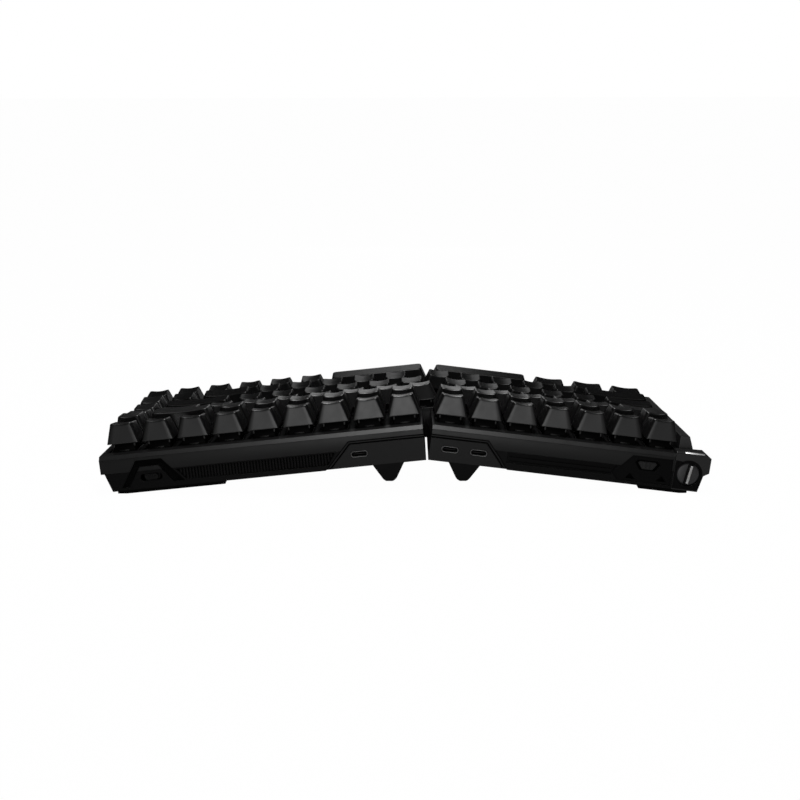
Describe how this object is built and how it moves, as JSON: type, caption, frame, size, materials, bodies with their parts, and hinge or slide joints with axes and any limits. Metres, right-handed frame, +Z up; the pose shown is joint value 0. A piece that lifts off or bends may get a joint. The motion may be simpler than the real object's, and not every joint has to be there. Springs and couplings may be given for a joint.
{
  "type": "ergonomic split keyboard",
  "caption": "Black split mechanical keyboard in two tented halves with staggered keys, flip-out feet, USB-C ports, slide switches and a mode dial at the rear.",
  "frame": {"origin": "centre of the bounding box's bottom face, on the desk", "axes": "+X to the user's right, +Y away from the user to the rear face, +Z up"},
  "size_m": [0.3268, 0.129, 0.0526],
  "materials": {
    "upper_case": "fine matt black moulding",
    "lower_case": "matt black moulding",
    "plate": "black coated sheet",
    "foam": "dark closed-cell foam",
    "board": "dark solder mask",
    "switch_plastic": "smooth black moulding",
    "spring_steel": "bright wire",
    "port_shell": "satin sheet",
    "rubber": "matt",
    "screw_steel": "satin",
    "inlay": "dark matt inlay",
    "dial": "dark satin",
    "rail": "satin black",
    "battery_wrap": "shrink wrap",
    "keycap": "fine-textured black, no legends"
  },
  "bodies": {
    "left_half": {"left_top_case": "upper_case", "left_bottom_case": "lower_case", "left_switch_plate": "plate", "left_plate_foam": "foam", "left_circuit_board": "board", "left_switch_housings": "switch_plastic", "left_switch_springs": "spring_steel", "left_stabilisers": "switch_plastic", "left_usb_ports": "port_shell", "left_rubber_feet": "rubber", "left_case_screws": "screw_steel", "left_tent_foot_pins": "screw_steel", "left_port_panel": "inlay", "corner_cap": "dial", "side_rail": "rail", "battery": "battery_wrap"},
    "right_half": {"right_top_case": "upper_case", "right_bottom_case": "lower_case", "right_switch_plate": "plate", "right_plate_foam": "foam", "right_circuit_board": "board", "right_switch_housings": "switch_plastic", "right_switch_springs": "spring_steel", "right_stabilisers": "switch_plastic", "right_usb_ports": "port_shell", "right_rubber_feet": "rubber", "right_case_screws": "screw_steel", "right_tent_foot_pins": "screw_steel", "right_port_panel": "inlay", "right_rear_grille": "inlay"},
    "left_function_keys": {"left_function_keys": "keycap"},
    "left_number_keys": {"left_number_keys": "keycap"},
    "tab_key": {"tab_key": "keycap"},
    "left_upper_letter_keys": {"left_upper_letter_keys": "keycap"},
    "caps_key": {"caps_key": "keycap"},
    "left_home_letter_keys": {"left_home_letter_keys": "keycap"},
    "left_shift_key": {"left_shift_key": "keycap"},
    "left_lower_letter_keys": {"left_lower_letter_keys": "keycap"},
    "left_modifier_keys": {"left_modifier_keys": "keycap"},
    "left_space_bar": {"left_space_bar": "keycap"},
    "left_rear_tent_foot": {"left_rear_tent_foot": "lower_case"},
    "left_front_tent_foot": {"left_front_tent_foot": "lower_case"},
    "left_rear_switch": {"left_rear_switch": "inlay"},
    "right_function_keys": {"right_function_keys": "keycap"},
    "right_number_keys": {"right_number_keys": "keycap"},
    "backspace_key": {"backspace_key": "keycap"},
    "right_upper_letter_keys": {"right_upper_letter_keys": "keycap"},
    "backslash_key": {"backslash_key": "keycap"},
    "right_home_letter_keys": {"right_home_letter_keys": "keycap"},
    "enter_key": {"enter_key": "keycap"},
    "right_lower_letter_keys": {"right_lower_letter_keys": "keycap"},
    "right_shift_key": {"right_shift_key": "keycap"},
    "right_space_bar": {"right_space_bar": "keycap"},
    "right_modifier_keys": {"right_modifier_keys": "keycap"},
    "arrow_keys": {"arrow_keys": "keycap"},
    "navigation_keys": {"navigation_keys": "keycap"},
    "right_rear_tent_foot": {"right_rear_tent_foot": "lower_case"},
    "right_front_tent_foot": {"right_front_tent_foot": "lower_case"},
    "right_rear_switch": {"right_rear_switch": "inlay"},
    "mode_dial": {"mode_dial": "dial"}
  },
  "joints": [
    {"name": "halves_apart", "type": "slide", "parent": "left_half", "child": "right_half", "axis": [1, 0, 0], "range_m": [0, 0.25]},
    {"name": "left_function_keys_press", "type": "slide", "parent": "left_half", "child": "left_function_keys", "axis": [0.122, 0.0523, -0.9911], "range_m": [0, 0.0035], "stiffness_N_per_m": 560, "springref_m": -0.005},
    {"name": "left_number_keys_press", "type": "slide", "parent": "left_half", "child": "left_number_keys", "axis": [0.122, 0.0523, -0.9911], "range_m": [0, 0.0035], "stiffness_N_per_m": 560, "springref_m": -0.005},
    {"name": "tab_key_press", "type": "slide", "parent": "left_half", "child": "tab_key", "axis": [0.122, 0.0523, -0.9911], "range_m": [0, 0.0035], "stiffness_N_per_m": 80, "springref_m": -0.005},
    {"name": "left_upper_letter_keys_press", "type": "slide", "parent": "left_half", "child": "left_upper_letter_keys", "axis": [0.122, 0.0523, -0.9911], "range_m": [0, 0.0035], "stiffness_N_per_m": 400, "springref_m": -0.005},
    {"name": "caps_key_press", "type": "slide", "parent": "left_half", "child": "caps_key", "axis": [0.122, 0.0523, -0.9911], "range_m": [0, 0.0035], "stiffness_N_per_m": 80, "springref_m": -0.005},
    {"name": "left_home_letter_keys_press", "type": "slide", "parent": "left_half", "child": "left_home_letter_keys", "axis": [0.122, 0.0523, -0.9911], "range_m": [0, 0.0035], "stiffness_N_per_m": 400, "springref_m": -0.005},
    {"name": "left_shift_key_press", "type": "slide", "parent": "left_half", "child": "left_shift_key", "axis": [0.122, 0.0523, -0.9911], "range_m": [0, 0.0035], "stiffness_N_per_m": 80, "springref_m": -0.005},
    {"name": "left_lower_letter_keys_press", "type": "slide", "parent": "left_half", "child": "left_lower_letter_keys", "axis": [0.122, 0.0523, -0.9911], "range_m": [0, 0.0035], "stiffness_N_per_m": 400, "springref_m": -0.005},
    {"name": "left_modifier_keys_press", "type": "slide", "parent": "left_half", "child": "left_modifier_keys", "axis": [0.122, 0.0523, -0.9911], "range_m": [0, 0.0035], "stiffness_N_per_m": 240, "springref_m": -0.005},
    {"name": "left_space_bar_press", "type": "slide", "parent": "left_half", "child": "left_space_bar", "axis": [0.122, 0.0523, -0.9911], "range_m": [0, 0.0035], "stiffness_N_per_m": 80, "springref_m": -0.005},
    {"name": "left_rear_tent_foot_fold", "type": "hinge", "parent": "left_half", "child": "left_rear_tent_foot", "pos_m": [-0.03401, 0.03735, 0.01822], "axis": [-0.9925, 0, -0.1222], "range_deg": [0, 96]},
    {"name": "left_front_tent_foot_fold", "type": "hinge", "parent": "left_half", "child": "left_front_tent_foot", "pos_m": [-0.03401, -0.01465, 0.01822], "axis": [-0.9925, 0, -0.1222], "range_deg": [0, 96]},
    {"name": "left_rear_switch_slide", "type": "slide", "parent": "left_half", "child": "left_rear_switch", "axis": [0.9925, 0, 0.1222], "range_m": [-0.0015, 0.0015]},
    {"name": "right_function_keys_press", "type": "slide", "parent": "right_half", "child": "right_function_keys", "axis": [-0.102, 0.0523, -0.9934], "range_m": [0, 0.0035], "stiffness_N_per_m": 720, "springref_m": -0.005},
    {"name": "right_number_keys_press", "type": "slide", "parent": "right_half", "child": "right_number_keys", "axis": [-0.102, 0.0523, -0.9934], "range_m": [0, 0.0035], "stiffness_N_per_m": 480, "springref_m": -0.005},
    {"name": "backspace_key_press", "type": "slide", "parent": "right_half", "child": "backspace_key", "axis": [-0.102, 0.0523, -0.9934], "range_m": [0, 0.0035], "stiffness_N_per_m": 80, "springref_m": -0.005},
    {"name": "right_upper_letter_keys_press", "type": "slide", "parent": "right_half", "child": "right_upper_letter_keys", "axis": [-0.102, 0.0523, -0.9934], "range_m": [0, 0.0035], "stiffness_N_per_m": 560, "springref_m": -0.005},
    {"name": "backslash_key_press", "type": "slide", "parent": "right_half", "child": "backslash_key", "axis": [-0.102, 0.0523, -0.9934], "range_m": [0, 0.0035], "stiffness_N_per_m": 80, "springref_m": -0.005},
    {"name": "right_home_letter_keys_press", "type": "slide", "parent": "right_half", "child": "right_home_letter_keys", "axis": [-0.102, 0.0523, -0.9934], "range_m": [0, 0.0035], "stiffness_N_per_m": 480, "springref_m": -0.005},
    {"name": "enter_key_press", "type": "slide", "parent": "right_half", "child": "enter_key", "axis": [-0.102, 0.0523, -0.9934], "range_m": [0, 0.0035], "stiffness_N_per_m": 80, "springref_m": -0.005},
    {"name": "right_lower_letter_keys_press", "type": "slide", "parent": "right_half", "child": "right_lower_letter_keys", "axis": [-0.102, 0.0523, -0.9934], "range_m": [0, 0.0035], "stiffness_N_per_m": 400, "springref_m": -0.005},
    {"name": "right_shift_key_press", "type": "slide", "parent": "right_half", "child": "right_shift_key", "axis": [-0.102, 0.0523, -0.9934], "range_m": [0, 0.0035], "stiffness_N_per_m": 80, "springref_m": -0.005},
    {"name": "right_space_bar_press", "type": "slide", "parent": "right_half", "child": "right_space_bar", "axis": [-0.102, 0.0523, -0.9934], "range_m": [0, 0.0035], "stiffness_N_per_m": 80, "springref_m": -0.005},
    {"name": "right_modifier_keys_press", "type": "slide", "parent": "right_half", "child": "right_modifier_keys", "axis": [-0.102, 0.0523, -0.9934], "range_m": [0, 0.0035], "stiffness_N_per_m": 240, "springref_m": -0.005},
    {"name": "arrow_keys_press", "type": "slide", "parent": "right_half", "child": "arrow_keys", "axis": [-0.102, 0.0523, -0.9934], "range_m": [0, 0.0035], "stiffness_N_per_m": 320, "springref_m": -0.005},
    {"name": "navigation_keys_press", "type": "slide", "parent": "right_half", "child": "navigation_keys", "axis": [-0.102, 0.0523, -0.9934], "range_m": [0, 0.0035], "stiffness_N_per_m": 320, "springref_m": -0.005},
    {"name": "right_rear_tent_foot_fold", "type": "hinge", "parent": "right_half", "child": "right_rear_tent_foot", "pos_m": [0.00979, 0.03735, 0.01858], "axis": [-0.9948, 0, 0.1021], "range_deg": [0, 96]},
    {"name": "right_front_tent_foot_fold", "type": "hinge", "parent": "right_half", "child": "right_front_tent_foot", "pos_m": [0.00979, -0.01465, 0.01858], "axis": [-0.9948, 0, 0.1021], "range_deg": [0, 96]},
    {"name": "right_rear_switch_slide", "type": "slide", "parent": "right_half", "child": "right_rear_switch", "axis": [0.9948, 0, -0.1021], "range_m": [-0.002, 0.002]},
    {"name": "mode_dial_turn", "type": "hinge", "parent": "left_half", "child": "mode_dial", "pos_m": [-0.15125, 0.06302, 0.0105], "axis": [-0.0064, 0.9986, 0.0519], "range_deg": [-45, 45]}
  ]
}
